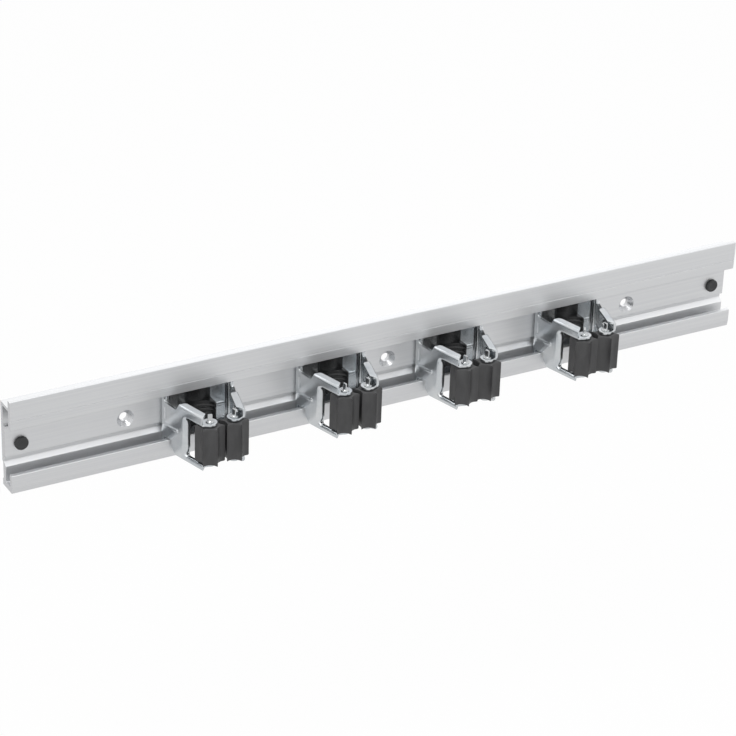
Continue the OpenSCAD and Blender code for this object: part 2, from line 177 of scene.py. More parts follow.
def turned(profile, sides=ROUND_SIDES, centre=(0, 0, 0), axis="Z"):
    """A lathed solid: profile gives radius and height from one end to the other, in millimetres."""
    rings = []
    for r, h in profile:
        turns = (2 * math.pi * k / sides for k in range(sides))
        ring = [(r * math.cos(a), r * math.sin(a), h) for a in turns]
        if axis == "Y":
            ring = [(x, -z, y) for x, y, z in ring]
        rings.append([Vector(p) + Vector(centre) for p in ring])
    return lofted(rings)


def joined(*meshes):
    """Several meshes as one."""
    bm = bmesh.new()
    for mesh in meshes:
        bm.from_mesh(mesh)
    made = bpy.data.meshes.new("joined")
    bm.to_mesh(made)
    bm.free()
    return made


RAIL_OUTLINE = [
    (0, WEB_HIGH), (FLANGE_OUT - FLANGE_T, WEB_HIGH), (FLANGE_OUT - FLANGE_T, RAIL_H), (FLANGE_OUT, RAIL_H),
    (FLANGE_OUT, SCORE_UP + SCORE_HALF), (FLANGE_OUT - SCORE_DEPTH, SCORE_UP + SCORE_HALF - SCORE_TAPER),
    (FLANGE_OUT - SCORE_DEPTH, SCORE_UP - SCORE_HALF + SCORE_TAPER),
    (FLANGE_OUT - FLANGE_STEP, SCORE_UP - SCORE_HALF),
    (FLANGE_OUT - FLANGE_LEAN, FLANGE_LOW), (FLANGE_OUT - FLANGE_T, FLANGE_LOW),
    (FLANGE_OUT - FLANGE_T, WEB_LOW), (UPPER_WALL_T, WEB_LOW), (UPPER_WALL_T, WALL_HIGH), (WALL_T, WALL_HIGH),
    (WALL_T, GROOVE_HIGH), (WALL_T - GROOVE_DEPTH, GROOVE_HIGH), (WALL_T - GROOVE_DEPTH, GROOVE_LOW),
    (WALL_T, RIDGE_LOW), (WALL_T, FLOOR_T), (LIP_OUT - LIP_T, FLOOR_T), (LIP_OUT - LIP_T, LIP_H),
    (LIP_OUT, LIP_H), (LIP_OUT, LIP_BEVEL_H), (LIP_OUT - LIP_BEVEL, 0), (0, 0), (0, RELIEF_LOW),
    (RELIEF, RELIEF_LOW + RELIEF_RAMP), (RELIEF, RELIEF_HIGH - RELIEF_RAMP), (0, RELIEF_HIGH)]

cross_section = rounded(RAIL_OUTLINE, CORNER_R)
bar = lofted([[(x, -p.x, p.y + UNDERSIDE) for p in cross_section] for x in (-RAIL_L / 2, RAIL_L / 2)])
SCREW_X = [k * SCREW_STEP for k in (-1, 0, 1)]
screw_hole = [
    (SCREW_R, -OVERRUN), (SCREW_R, WALL_T - (SINK_R - SCREW_R)), (SINK_R, WALL_T),
    (SINK_R + SINK_RIM * 2, WALL_T + SINK_RIM)]
stop_hole = [(STOP_SHANK_R, -OVERRUN), (STOP_SHANK_R, WALL_T + OVERRUN)]
drills = [turned(screw_hole, centre=(x, 0, 0), axis="Y") for x in SCREW_X]
drills += [turned(stop_hole, centre=(x, 0, 0), axis="Y") for x in (-STOP_X, STOP_X)]
cutter = bpy.data.objects.new("cutter", joined(*drills))
bpy.context.collection.objects.link(cutter)
drilled = with_modifiers(bar, ("BOOLEAN", {"operation": "DIFFERENCE", "solver": "EXACT", "object": cutter}))
bpy.data.objects.remove(cutter)

# Anodised aluminium: a soft pale metal, matt from etching, with broader streaks of a slightly different tone
# along it. Its die lines are drawn 0.4 mm apart, coarser than the real ones, to show at all
anodised_aluminium, shader = new_material("anodised_aluminium_extrusion")
die_lines = surface_noise(anodised_aluminium, (260, 0.4, 0.4))
streaks = surface_noise(anodised_aluminium, (300, 1.1, 1.1))
set_inputs(anodised_aluminium, shader, {
    "Base Color": add_node(anodised_aluminium, "ShaderNodeMix", {
        "Factor": add_node(anodised_aluminium, "ShaderNodeMapRange", {
            "Value": streaks, **NOISE_SPAN}).outputs["Result"],
        "A": linear("#dcdddf"), "B": linear("#e2e3e4")}, data_type="RGBA").outputs["Result"],
    "Metallic": 1,
    "Roughness": add_node(anodised_aluminium, "ShaderNodeMapRange", {
        "Value": die_lines, **NOISE_SPAN, "To Min": 0.42, "To Max": 0.46}).outputs["Result"],
    "Normal": add_node(anodised_aluminium, "ShaderNodeBump", {
        "Height": die_lines, "Strength": 0.08, "Distance": 0.05 * MM}).outputs["Normal"]})

# Sawn aluminium: the ends and the drilled countersinks are bare bright metal, with the tool's fine marks
sawn_aluminium, shader = new_material("sawn_aluminium")
saw_marks = surface_noise(sawn_aluminium, (0.35, 9, 0.35))
set_inputs(sawn_aluminium, shader, {
    "Base Color": linear("#cfd0d2"),
    "Metallic": 1,
    "Roughness": add_node(sawn_aluminium, "ShaderNodeMapRange", {
        "Value": saw_marks, **NOISE_SPAN, "To Min": 0.22, "To Max": 0.36}).outputs["Result"],
    "Normal": add_node(sawn_aluminium, "ShaderNodeBump", {
        "Height": saw_marks, "Strength": 0.15, "Distance": 0.05 * MM}).outputs["Normal"]})

drilled.materials.append(anodised_aluminium)
drilled.materials.append(sawn_aluminium)
for face in drilled.polygons:
    x, y, z = face.center / MM
    at_end = abs(face.normal.x) > END_FACING and abs(abs(x) - RAIL_L / 2) < END_SLACK
    in_wall = -WALL_T + HAIR < y < -HAIR and abs(face.normal.x) + abs(face.normal.z) > SINK_FACING
    in_hole = in_wall and any(math.hypot(x - screw_x, z) < SINK_R for screw_x in SCREW_X)
    face.material_index = 1 if at_end or in_hole else 0
piece("rail_extrusion", drilled, "rail", "rail", anodised_aluminium, RAIL_SMOOTH_UNDER)

# End stops
# Black polyamide plugs, injection moulded with a dished head, and pushed into holes near the rail's ends.
# They stop the holders from sliding off.
STOP_HEAD_R, STOP_HEAD_H, STOP_HEAD_EDGE = 4.15, 2.2, 0.15
STOP_DOME_SHARES = [(1, 0.7), (0.96, 0.86), (0.85, 1)]
STOP_TIP_SHARE, STOP_TIP_LOW, STOP_TIP_HIGH = 0.9, 0.05, 0.4
DISH_R, DISH_DEPTH, DISH_LIP, DISH_LIP_DROP = 2.6, 0.5, 0.2, 0.1
DISH_MIDDLE_R, DISH_MIDDLE_SHARE = 0.2, 1.1

head_top = WALL_T + STOP_HEAD_H
plug_profile = [
    (STOP_SHANK_R * STOP_TIP_SHARE, STOP_TIP_LOW), (STOP_SHANK_R, STOP_TIP_HIGH), (STOP_SHANK_R, WALL_T),
    (STOP_HEAD_R - STOP_HEAD_EDGE, WALL_T), (STOP_HEAD_R, WALL_T + STOP_HEAD_EDGE),
    *[(STOP_HEAD_R * r, WALL_T + STOP_HEAD_H * h) for r, h in STOP_DOME_SHARES],
    (DISH_R + DISH_LIP, head_top), (DISH_R, head_top - DISH_LIP_DROP), (DISH_R / 2, head_top - DISH_DEPTH),
    (DISH_MIDDLE_R, head_top - DISH_DEPTH * DISH_MIDDLE_SHARE)]

# Black polyamide: moulded with a spark-eroded texture, so its gloss is dull. The grain is drawn 0.25 mm
# across, coarser than the real one, to show at all
black_polyamide, shader = new_material("moulded_black_polyamide")
mould_grain = surface_noise(black_polyamide, (0.25, 0.25, 0.25))
set_inputs(black_polyamide, shader, {
    "Base Color": linear("#2b2c2d"),
    "Roughness": add_node(black_polyamide, "ShaderNodeMapRange", {
        "Value": mould_grain, **NOISE_SPAN, "To Min": 0.42, "To Max": 0.58}).outputs["Result"],
    "IOR": 1.53,
    "Normal": add_node(black_polyamide, "ShaderNodeBump", {
        "Height": mould_grain, "Strength": 0.25, "Distance": 0.03 * MM}).outputs["Normal"]})

SIDES = (("left", -1), ("right", 1))
for side, hand in SIDES:
    piece(f"{side}_end_stop_plug", turned(plug_profile, centre=(hand * STOP_X, 0, 0), axis="Y"), "rail",
          f"{side}_end_stop", black_polyamide)

# Carriers
# Steel sheet of 1.5 mm, pressed, rolled into knuckles at its corners and bright zinc plated.
# Each stands in the rail's channel and hooks behind the flange, and carries one holder.
HOLDERS = [1, 2, 3, 4]
HOLDER_X = {i: sum(c.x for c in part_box(f"carrier_{i}")) / 2 / MM for i in HOLDERS}
SHEET_T, BEND_R, EDGE_R = 1.5, 0.85, 0.12
PLATE_BACK, PLATE_W, FOOT_W = 5.3, 36.8, 32
HOOK_OUT, FOOT_OUT = 11.0, 10.7
HINGE_HALF, KNUCKLE_R, PIN_R, CURL_TURN = 21, 2.2, 1, 300
PIN_OUT = PLATE_BACK + KNUCKLE_R
CURL_R = KNUCKLE_R - SHEET_T / 2
CURL = CURL_R * math.radians(CURL_TURN)
LOW_KNUCKLE, HIGH_KNUCKLE = (3.9, 9.5), (47.9, 51.2)
CARRIER_LOW, CARRIER_HIGH, CARRIER_CORNER_R = 3.6, 52.7, 0.6
PLATE_BEAD_UP, BEAD_W, BEAD_OUT = 24.2, 2.4, 0.6
PLATE_BEAD = ((11.4, PLATE_BEAD_UP), (17.1, PLATE_BEAD_UP))
PLATE_FINE_FROM = 10
# The flat mesh of a blank: its points' spacing, how near a rim they may lie, the least area of a face, and
# how near two points are one
SHEET_GRID, RIM_CLEAR_SHARE, SLIVER, SAME_POINT = 0.55, 0.8, 0.002, 1e-5
HOLE_SIDES, HOLE_SHARE, BEAD_STEPS, BEAD_GRID_SHARE = 24, 0.99, 10, 0.6


def folded(q, radius=BEND_R):
    """How far a point q past a right-angled bend's start lies along the sheet's plane, and off it."""
    quarter = radius * math.pi / 2
    if q <= 0:
        return q, 0
    if q < quarter:
        return radius * math.sin(q / radius), radius * (1 - math.cos(q / radius))
    return radius, radius + q - quarter


def inside(point, outline):
    """Whether a point lies within a closed outline."""
    x, y = point
    odd = False
    for (ax, ay), (bx, by) in zip(outline, outline[1:] + outline[:1]):
        if (ay > y) != (by > y) and x < (bx - ax) * (y - ay) / (by - ay) + ax:
            odd = not odd
    return odd


def to_line(point, start, end):
    """Distance from a point to a line between two points."""
    p, a, b = Vector(point), Vector(start), Vector(end)
    along = max(0, min(1, (p - a).dot(b - a) / (b - a).length_squared))
    return (p - a - (b - a) * along).length


def resampled(outline, step):
    """The outline with points no more than step apart."""
    made = []
    for a, b in zip(outline, outline[1:] + outline[:1]):
        a, b = Vector(a), Vector(b)
        parts = max(1, math.ceil((b - a).length / step))
        made += [a.lerp(b, j / parts) for j in range(parts)]
    return made


def bead_outline(start, end, radius=BEAD_W / 2):
    """The outline of an embossed bead with round ends, closed by its first point."""
    a, b = Vector(start), Vector(end)
    turn = math.atan2(b.y - a.y, b.x - a.x)
    ring = []
    for centre, first in ((b, turn - math.pi / 2), (a, turn + math.pi / 2)):
        turns = (first + math.pi * k / BEAD_STEPS for k in range(BEAD_STEPS + 1))
        ring += [centre + Vector((math.cos(t), math.sin(t))) * radius for t in turns]
    ring = [tuple(p) for p in resampled(ring, SHEET_GRID * BEAD_GRID_SHARE)]
    return ring + ring[:1]


def blank_points(edge, rims, holes, fine):
    """The points of a flat blank's mesh within its rims: every second one, or each one where fine says so."""
    half = SHEET_GRID / 2
    rim_parts = [part for rim in rims for part in zip(rim, rim[1:])]
    lows, highs = ([limit(p[k] for p in edge) for k in (0, 1)] for limit in (min, max))
    made = []
    for a in range(int((highs[0] - lows[0]) / half)):
        for b in range(int((highs[1] - lows[1]) / half)):
            p = (lows[0] + (a + 0.5) * half, lows[1] + (b + 0.5) * half)
            if (a % 2 or b % 2) and not fine(*p):
                continue
            near_rim = any(
                to_line(p, start, end) < half * RIM_CLEAR_SHARE for start, end in rim_parts
                if abs(start[0] - p[0]) < SHEET_GRID * 2 and abs(start[1] - p[1]) < SHEET_GRID * 2)
            if inside(p, edge) and not near_rim and all(math.dist(p, c) > r for c, r in holes):
                made.append(p)
    return made


def pressed_sheet(outline, form, fine, lines, holes=()):
    """A sheet-metal piece: the blank's outline is meshed flat, each point is formed by form(u, v), and the
    sheet gets its thickness and its rounded rims. fine tells where the mesh needs points twice as close, and
    lines are the creases that its edges follow."""
    edge = [tuple(p) for p in resampled(outline, SHEET_GRID)]
    rims = [edge + edge[:1]] + list(lines)
    for (cx, cy), r in holes:
        turns = (math.tau * k / HOLE_SIDES for k in range(HOLE_SIDES + 1))
        rims.append([(cx + r * math.cos(t), cy + r * math.sin(t)) for t in turns])
    points, edges = [], []
    for rim in rims:
        start = len(points)
        points += rim
        edges += [(start + k, start + k + 1) for k in range(len(rim) - 1)]
    points += blank_points(edge, rims, holes, fine)
    flat, _, faces = delaunay_2d_cdt([Vector(p) for p in points], edges, [], 0, SAME_POINT)[:3]
    bm = bmesh.new()
    verts = [bm.verts.new(Vector(form(*p)) * MM) for p in flat]
    for f in faces:
        a, b, c = (flat[k] for k in f)
        middle = (a + b + c) / 3
        in_hole = any(math.dist(middle, centre) <= r * HOLE_SHARE for centre, r in holes)
        if abs((b - a).cross(c - a)) >= SLIVER and inside(middle, edge) and not in_hole:
            bm.faces.new([verts[k] for k in f])
    bmesh.ops.delete(bm, geom=[v for v in verts if not v.link_faces], context="VERTS")
    bmesh.ops.recalc_face_normals(bm, faces=bm.faces)
    rim_weight = bm.edges.layers.float.new("bevel_weight_edge")
    for e in bm.edges:
        e[rim_weight] = 1.0 if e.is_boundary else 0.0
    mesh = bpy.data.meshes.new("sheet")
    bm.to_mesh(mesh)
    bm.free()
    return with_modifiers(
        mesh,
        ("SOLIDIFY", {"thickness": SHEET_T * MM, "offset": 0, "use_even_offset": True}),
        ("BEVEL", {"width": EDGE_R * MM, "segments": 2, "limit_method": "WEIGHT", "use_clamp_overlap": True}))


def bead_height(distance):
    """Height of an embossed bead, round across, at a distance from its middle line."""
    round_r = (BEAD_W ** 2 / 4 + BEAD_OUT ** 2) / (2 * BEAD_OUT)
    return max(0, math.sqrt(max(0, round_r ** 2 - distance ** 2)) - round_r + BEAD_OUT)


plate_middle = PLATE_BACK + SHEET_T / 2
foot_bend, hook_bend = CARRIER_LOW + SHEET_T / 2 + BEND_R, CARRIER_HIGH - SHEET_T / 2 - BEND_R
quarter_bend = BEND_R * math.pi / 2
foot_end = foot_bend - quarter_bend - (FOOT_OUT - plate_middle - BEND_R)
hook_end = hook_bend + quarter_bend + (HOOK_OUT - plate_middle - BEND_R)
curl_end = HINGE_HALF + CURL
half_outline = [
    (FOOT_W / 2, foot_end), (FOOT_W / 2, LOW_KNUCKLE[0]), (curl_end, LOW_KNUCKLE[0]),
    (curl_end, LOW_KNUCKLE[1]), (PLATE_W / 2, LOW_KNUCKLE[1]), (PLATE_W / 2, HIGH_KNUCKLE[0]),
    (curl_end, HIGH_KNUCKLE[0]), (curl_end, HIGH_KNUCKLE[1]), (FOOT_W / 2, HIGH_KNUCKLE[1]),
    (FOOT_W / 2, hook_end)]
carrier_outline = half_outline + [(-x, z) for x, z in reversed(half_outline)]


def formed_carrier(x, z):
    """Where a point of the carrier's blank ends up, from the holder's middle and the rail's underside."""
    across, along, out = abs(x), z, plate_middle
    if across > HINGE_HALF:
        turn = (across - HINGE_HALF) / CURL_R
        across, out = HINGE_HALF + CURL_R * math.sin(turn), PIN_OUT - CURL_R * math.cos(turn)
    elif z < foot_bend:
        step, off = folded(foot_bend - z)
        along, out = foot_bend - step, plate_middle + off
    elif z > hook_bend:
        step, off = folded(z - hook_bend)
        along, out = hook_bend + step, plate_middle + off
    out += bead_height(to_line((abs(x), z), *PLATE_BEAD))
    return math.copysign(across, x), -out, along + UNDERSIDE


def carrier_fine(x, z):
    """Where the carrier's mesh needs its points closer: round the beads and in the rolled knuckles."""
    near_bead = abs(z - PLATE_BEAD_UP) < BEAD_W / 2 and abs(x) > PLATE_FINE_FROM
    return near_bead or abs(x) > HINGE_HALF


carrier_sheet = pressed_sheet(
    [tuple(p) for p in rounded(carrier_outline, CARRIER_CORNER_R, steps=2)], formed_carrier, carrier_fine,
    lines=[bead_outline(*PLATE_BEAD), bead_outline(*[(-x, z) for x, z in PLATE_BEAD])])

# Bright zinc plate: a thin bluish metal over steel, with cloudy paler patches from the passivation and the
# rolled sheet's soft unevenness under it. The plating's grain is drawn 0.3 mm across to show at all
bright_zinc_plate, shader = new_material("bright_zinc_plated_steel")
patches = surface_noise(bright_zinc_plate, (14, 14, 14), detail=3)
waves = surface_noise(bright_zinc_plate, (6, 6, 6), detail=1)
plating_grain = surface_noise(bright_zinc_plate, (0.3, 0.3, 0.3))
set_inputs(bright_zinc_plate, shader, {
    "Base Color": add_node(bright_zinc_plate, "ShaderNodeMix", {
        "Factor": add_node(bright_zinc_plate, "ShaderNodeMapRange", {
            "Value": patches, **NOISE_SPAN}).outputs["Result"],
        "A": linear("#c8cdd1"), "B": linear("#dfe1e2")}, data_type="RGBA").outputs["Result"],
    "Metallic": 1,
    "Roughness": add_node(bright_zinc_plate, "ShaderNodeMapRange", {
        "Value": patches, **NOISE_SPAN, "To Min": 0.19, "To Max": 0.27}).outputs["Result"],
    "Normal": add_node(bright_zinc_plate, "ShaderNodeBump", {
        "Height": waves, "Strength": 0.3, "Distance": 0.3 * MM,
        "Normal": add_node(bright_zinc_plate, "ShaderNodeBump", {
            "Height": plating_grain, "Strength": 0.1, "Distance": 0.02 * MM}).outputs["Normal"],
    }).outputs["Normal"]})


def moved(mesh, matrix):
    """A copy of a mesh, moved by a matrix, with its faces the right way out."""
    made = mesh.copy()
    made.transform(matrix)
    if matrix.determinant() < 0:
        made.flip_normals()
    return made


def at_holder(i):
    """The move from the rail's middle to a holder's middle."""
    return Matrix.Translation((HOLDER_X[i] * MM, 0, 0))


for i in HOLDERS:
    piece(f"carrier_plate_{i}", moved(carrier_sheet, at_holder(i)), f"holder_{i}", f"carrier_{i}",
          bright_zinc_plate)

# Pads
# Black nitrile rubber, moulded: a flat plate, and a ribbed block with a half-round hollow for the handle.
# A stud on its back is pushed through the carrier.
PAD_PLATE_W, PAD_PLATE_T, PAD_PLATE_CORNER_R, PAD_TOP = 15.5, 1.5, 1.5, 49.7
PAD_W, PAD_OUT, PAD_LOW, PAD_H = 18, 14, 15, 15
PAD_HOLLOW_R, RIB_STEP, RIB_DEPTH, RIB_BLUNT = 8.3, 2.9, 0.7, 0.6
PLATE_FRONT = PLATE_BACK + SHEET_T
PAD_BACK = PLATE_FRONT + (PAD_OUT - PLATE_FRONT) / 4
PAD_EDGE_R, PAD_PLATE_EDGE_R, PAD_PLAIN, PAD_LAP = 0.4, 0.3, 0.25, 0.5
STUD_R, STUD_TIP_R, STUD_TIP_LOW, STUD_TIP_HIGH, STUD_LAP = 2.4, 2.2, 0.05, 0.3, 0.2
ARC_STEPS, RIB_LEVELS, SQUARE_OVER = 28, 8, 60


def pad_ring(z, depth):
    """The pad block's outline at a height, with its hollow deeper by depth in a groove."""
    centre = PAD_BACK + PAD_HOLLOW_R
    r = PAD_HOLLOW_R + depth
    reach = math.acos((centre - PAD_OUT) / r)
    turns = (reach - 2 * reach * k / ARC_STEPS for k in range(ARC_STEPS + 1))
    arc = [(r * math.sin(a), -centre + r * math.cos(a)) for a in turns]
    ring = [(-PAD_W / 2, -PLATE_FRONT), (PAD_W / 2, -PLATE_FRONT), (PAD_W / 2, -PAD_OUT),
            *arc, (-PAD_W / 2, -PAD_OUT)]
    return [(x, y, z + UNDERSIDE) for x, y in ring]


def edges_rounded(mesh, radius):
    """The mesh with its square edges rounded."""
    return with_modifiers(mesh, ("BEVEL", {
        "width": radius * MM, "segments": 3, "limit_method": "ANGLE",
        "angle_limit": math.radians(SQUARE_OVER)}))


levels = [(PAD_LOW, 0)]
level_count = int(PAD_H / RIB_STEP) * RIB_LEVELS
for k in range(level_count + 1):
    wave = 0.5 - 0.5 * math.cos(2 * math.pi * k / RIB_LEVELS)
    rise = PAD_LOW + PAD_PLAIN + k * (PAD_H - 2 * PAD_PLAIN) / level_count
    levels.append((rise, RIB_DEPTH * wave ** RIB_BLUNT))
levels.append((PAD_LOW + PAD_H, 0))
pad_block = edges_rounded(lofted([pad_ring(z, depth) for z, depth in levels]), PAD_EDGE_R)
plate_low = PAD_LOW + PAD_H - PAD_LAP
plate_ring = rounded([
    (-PAD_PLATE_W / 2, plate_low), (PAD_PLATE_W / 2, plate_low), (PAD_PLATE_W / 2, PAD_TOP),
    (-PAD_PLATE_W / 2, PAD_TOP)], PAD_PLATE_CORNER_R, steps=5)
plate_faces = (-PLATE_FRONT, -PLATE_FRONT - PAD_PLATE_T)
pad_plate = edges_rounded(
    lofted([[(p.x, y, p.y + UNDERSIDE) for p in plate_ring] for y in plate_faces]), PAD_PLATE_EDGE_R)
pad_stud = turned([
    (STUD_TIP_R, PLATE_BACK + STUD_TIP_LOW), (STUD_R, PLATE_BACK + STUD_TIP_HIGH),
    (STUD_R, PLATE_FRONT + STUD_LAP)], centre=(0, 0, PAD_LOW + PAD_H / 2 + UNDERSIDE), axis="Y")
pad_mesh = joined(pad_block, pad_plate, pad_stud)

# Nitrile rubber: near black, with a soft gloss from a polished mould. Its grain is drawn 0.3 mm across,
# coarser than the real one, to show at all
black_rubber, shader = new_material("moulded_black_nitrile_rubber")
rubber_grain = surface_noise(black_rubber, (0.3, 0.3, 0.3))
set_inputs(black_rubber, shader, {
    "Base Color": linear("#1f2021"),
    "Roughness": add_node(black_rubber, "ShaderNodeMapRange", {
        "Value": rubber_grain, **NOISE_SPAN, "To Min": 0.2, "To Max": 0.3}).outputs["Result"],
    "IOR": 1.52,
    "Normal": add_node(black_rubber, "ShaderNodeBump", {
        "Height": rubber_grain, "Strength": 0.08, "Distance": 0.03 * MM}).outputs["Normal"]})

for i in HOLDERS:
    piece(f"ribbed_pad_{i}", moved(pad_mesh, at_holder(i)), f"holder_{i}", f"pad_{i}",
          black_rubber)

# Wings
# Each is one blank of the same sheet: rolled round the hinge pin at its back, with a strip folded in along
# both arms' outer edges and an embossed bead. The window's edge is drawn inwards all round, in a wide roll at
# its back and a tight ledge along each arm, which ends in the ear for the axle.
WING_LEAN = 14.9
WING_LOW, WING_HIGH, WING_L = 3.2, 38.6, 35.2
BARREL_LOW, BARREL_HIGH, BARREL_CUT = 9.7, 41.2, 0.4
BARREL_FOOT, BARREL_NECK, SHOULDER_Z, SHOULDER_TOP = 0.6, 0.9, 35.45, (1.2, 36.6)
LIP_PASS, LIP_PASS_Z = 7.95, 12.4
KNEE_BACK, KNEE_Z, KNEE_SLANT = 11.8, 7.8, 1.2
STRIP_W, STRIP_BACK, STRIP_CUT, STRIP_CUT_RISE = 5, 13.9, 2.7, 0.9
# The upper strip's rear corner on the blank: how far in front of the strip's back, and under its edge or
# above its bend
STRIP_CORNER = [(2.6, 0), (1.2, 0.5)]
STRIP_ROOT = [(0.3, 1.8), (0, 0.3)]
NOTCH_Z, NOTCH_FRONT = 34.7, 1.5
LOW_ARM_HIGH, HIGH_ARM_LOW = 7.0, 33.8
BEAD = ((1.8, 20.8), (12.7, 20.8))
RAISED_LINE = ((1.9, 24.4), (1.9, 32.2))
RAISED_LINE_W, RAISED_LINE_OUT, RAISED_LINE_STEPS = 0.7, 0.2, 20
WINDOW_BACK, WINDOW_ROLL_R = 21.1, 3.5
FOLD_R, ROLL_REACH, LEDGE_REACH = 4.4, 6.4, 2.6
# The window's corner on the blank: how far behind the ledge's end, and how far in from the ledge
WINDOW_CORNER = [(0, 0), (0.65, 0.4), (0.8, 0.95), (0.65, 1.4)]
WINDOW_ROLL_IN = 2.1
HIGH_EAR_R, LOW_EAR_R, EAR_STEP, AXLE_R, EAR_CLEAR = 4.3, 3.2, 0.4, 1.5, 0.06
EAR_START, EAR_TURN, EAR_STEPS = 50, 230, 18
EAR_ROOT = [(0.3, 0.8), (1.4, 0)]
ROLLER_R, RIDGES, PAIR_GAP, AXLE_BACK = 8.8, 6, 0.25, 0.43
# How far behind the bead and the window's fold line the mesh is finer, the widest bend that needs it, and
# how far the strips' bends reach behind the strips
BEAD_FINE, WINDOW_FINE, TIGHT_R = 0.5, 0.3, 2
STRIP_EASE, KNEE_EASE = 1, 0.5
lean = math.radians(WING_LEAN)
ROLLER_HALF = ROLLER_R * math.cos(math.pi / RIDGES) + PAIR_GAP / 2
axis_along = WING_L - AXLE_BACK
ROLLER_OUT = PIN_OUT + (axis_along - (HINGE_HALF - ROLLER_HALF) * math.sin(lean)) / math.cos(lean)
axis_in = (HINGE_HALF - ROLLER_HALF) * math.cos(lean) - (ROLLER_OUT - PIN_OUT) * math.sin(lean)

high_bend = WING_HIGH - SHEET_T / 2 - BEND_R
low_bend = WING_LOW + SHEET_T / 2 + BEND_R
high_ear_bend = HIGH_ARM_LOW - SHEET_T / 2 + BEND_R
low_ear_bend = LOW_ARM_HIGH - SHEET_T / 2 - BEND_R
strip_flat = STRIP_W - SHEET_T / 2 - BEND_R
ear_flat = axis_in + CURL_R - BEND_R
high_strip_end = high_bend + quarter_bend + strip_flat
low_strip_end = low_bend - quarter_bend - strip_flat
high_ear_at = (axis_along, high_ear_bend - quarter_bend - ear_flat)
low_ear_at = (axis_along, low_ear_bend + quarter_bend + ear_flat)
roll_start = WINDOW_BACK - WINDOW_ROLL_R
roll_r = WINDOW_ROLL_R - SHEET_T / 2
roll_end = roll_start + roll_r * math.pi / 2
fold_corner = roll_start + FOLD_R
low_ledge, high_ledge = low_ear_bend + LEDGE_REACH, high_ear_bend - LEDGE_REACH


def arm_edge(ear_at, r, ledge, way):
    """The blank's edge from an arm's end round its ear, back along its ledge and round the window's corner.
    way is 1 for the lower arm, whose ledge is above it, and -1 for the upper one."""
    cx, cy = ear_at
    turns = (math.radians(EAR_START - EAR_TURN * k / EAR_STEPS) for k in range(EAR_STEPS + 1))
    ear = [(cx + r * math.cos(a), cy - way * r * math.sin(a)) for a in turns]
    root = [(axis_along - r - back, ledge + way * rise) for back, rise in EAR_ROOT]
    corner = [(fold_corner - back, ledge + way * rise) for back, rise in WINDOW_CORNER]
    return ear + root + corner + [(roll_end, ledge + way * WINDOW_ROLL_IN)]


wing_outline = [
    (-CURL, BARREL_LOW), (BARREL_FOOT, BARREL_LOW), (BARREL_NECK, LIP_PASS_Z), (LIP_PASS, LIP_PASS_Z),
    (LIP_PASS, KNEE_Z), (KNEE_BACK, low_bend - STRIP_CUT_RISE), (KNEE_BACK + KNEE_SLANT, low_strip_end),
    (WING_L - STRIP_CUT, low_strip_end), (WING_L, low_bend - STRIP_CUT_RISE),
    (WING_L, low_ear_bend + EAR_STEP),
    *arm_edge(low_ear_at, LOW_EAR_R, low_ledge, 1),
    *reversed(arm_edge(high_ear_at, HIGH_EAR_R, high_ledge, -1)),
    (WING_L, high_ear_bend - EAR_STEP), (WING_L, high_bend + STRIP_CUT_RISE),
    (WING_L - STRIP_CUT, high_strip_end),
    *[(STRIP_BACK + front, high_strip_end - drop) for front, drop in STRIP_CORNER],
    *[(STRIP_BACK + front, high_bend + rise) for front, rise in STRIP_ROOT],
    (STRIP_BACK - NOTCH_FRONT, NOTCH_Z), (STRIP_BACK - STRIP_W, NOTCH_Z),
    (KNUCKLE_R, SHOULDER_Z), SHOULDER_TOP,
    (BARREL_NECK, BARREL_HIGH - BARREL_CUT), (-CURL, BARREL_HIGH - BARREL_CUT)]


def eased(value, none, full):
    """Goes smoothly from 0 at none to 1 at full."""
    f = max(0, min(1, (value - none) / (full - none)))
    return f * f * (3 - 2 * f)


def window_fold(s, t):
    """For a point past the fold line round the window: how far past, the line's nearest point, the way in
    from there, and the bend's radius, which is wide behind the window and tight along the arms."""
    low = t < (low_ear_bend + high_ear_bend) / 2
    line, way = (low_ear_bend, 1) if low else (high_ear_bend, -1)
    rise = (t - line) * way
    if s >= fold_corner:
        past, foot, inwards, foot_rise = rise, (s, line), (0, way), 0
    elif rise < FOLD_R:
        ds, dt = s - fold_corner, rise - FOLD_R
        reach = max(math.hypot(ds, dt), SAME_POINT)
        past, inwards = FOLD_R - reach, (-ds / reach, -dt / reach * way)
        foot_rise = FOLD_R + FOLD_R * dt / reach
        foot = (fold_corner + FOLD_R * ds / reach, line + foot_rise * way)
    else:
        past, foot, inwards, foot_rise = s - roll_start, (roll_start, t), (1, 0), rise
    return past, foot, inwards, BEND_R + (roll_r - BEND_R) * eased(foot_rise, 0, ROLL_REACH)


def formed_wing(s, t):
    """Where a point of the wing's blank ends up, with the hinge at the origin: s runs along it, t up it."""
    off, along, up = CURL_R, s, t
    past, foot, inwards, fold_r = window_fold(s, t)
    if s < 0:
        turn = -s / CURL_R
        off, along = CURL_R * math.cos(turn), -CURL_R * math.sin(turn)
    elif t > high_bend and s > STRIP_BACK - STRIP_EASE:
        step, inward = folded(t - high_bend)
        off, up = CURL_R - inward, high_bend + step
    elif t < low_bend and s > KNEE_BACK - KNEE_EASE:
        step, inward = folded(low_bend - t)
        off, up = CURL_R - inward, low_bend - step
    elif s > roll_start and past > 0 and low_ear_bend < t < high_ear_bend:
        step, inward = folded(past, fold_r)
        off, along, up = CURL_R - inward, foot[0] + inwards[0] * step, foot[1] + inwards[1] * step
    off += bead_height(to_line((s, t), *BEAD))
    off += RAISED_LINE_OUT * max(0, 1 - to_line((s, t), *RAISED_LINE) / (RAISED_LINE_W / 2))
    return off, -along, up + UNDERSIDE


